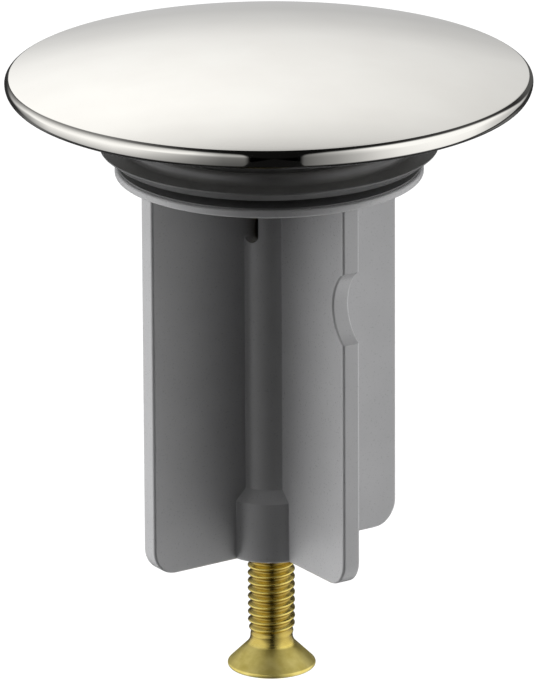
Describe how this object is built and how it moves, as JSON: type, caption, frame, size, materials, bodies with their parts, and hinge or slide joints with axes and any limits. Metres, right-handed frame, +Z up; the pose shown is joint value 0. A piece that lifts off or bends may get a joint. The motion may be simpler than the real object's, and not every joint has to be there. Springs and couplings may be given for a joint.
{
  "type": "drain stopper",
  "caption": "Pop-up basin waste plug: domed polished cap over a rubber lip seal and a cross-finned plastic guide, with a brass countersunk screw below that sets its height.",
  "frame": {"origin": "on the plug's axis, in the plane of the seal lip's edge, where the plug sits in the waste", "axes": "+Z up along the plug's axis towards the cap, fins along X and Y, the notched fin along -Y"},
  "size_m": [0.063, 0.063, 0.079],
  "materials": {
    "polished_nickel": "polished nickel plate on brass",
    "stud_brass": "machined",
    "black_rubber": "moulded, semi-gloss",
    "grey_plastic": "fine moulded texture",
    "insert_brass": "machined",
    "screw_brass": "rolled thread, bright"
  },
  "bodies": {
    "plug": {"cap": "polished_nickel", "cap_stud": "stud_brass", "seal": "black_rubber", "guide_body": "grey_plastic", "thread_insert": "insert_brass"},
    "screw": {"adjusting_screw": "screw_brass"}
  },
  "joints": [
    {"name": "height_adjustment", "type": "slide", "parent": "plug", "child": "screw", "axis": [0, 0, 1], "range_m": [-0.01, 0.0115]}
  ]
}
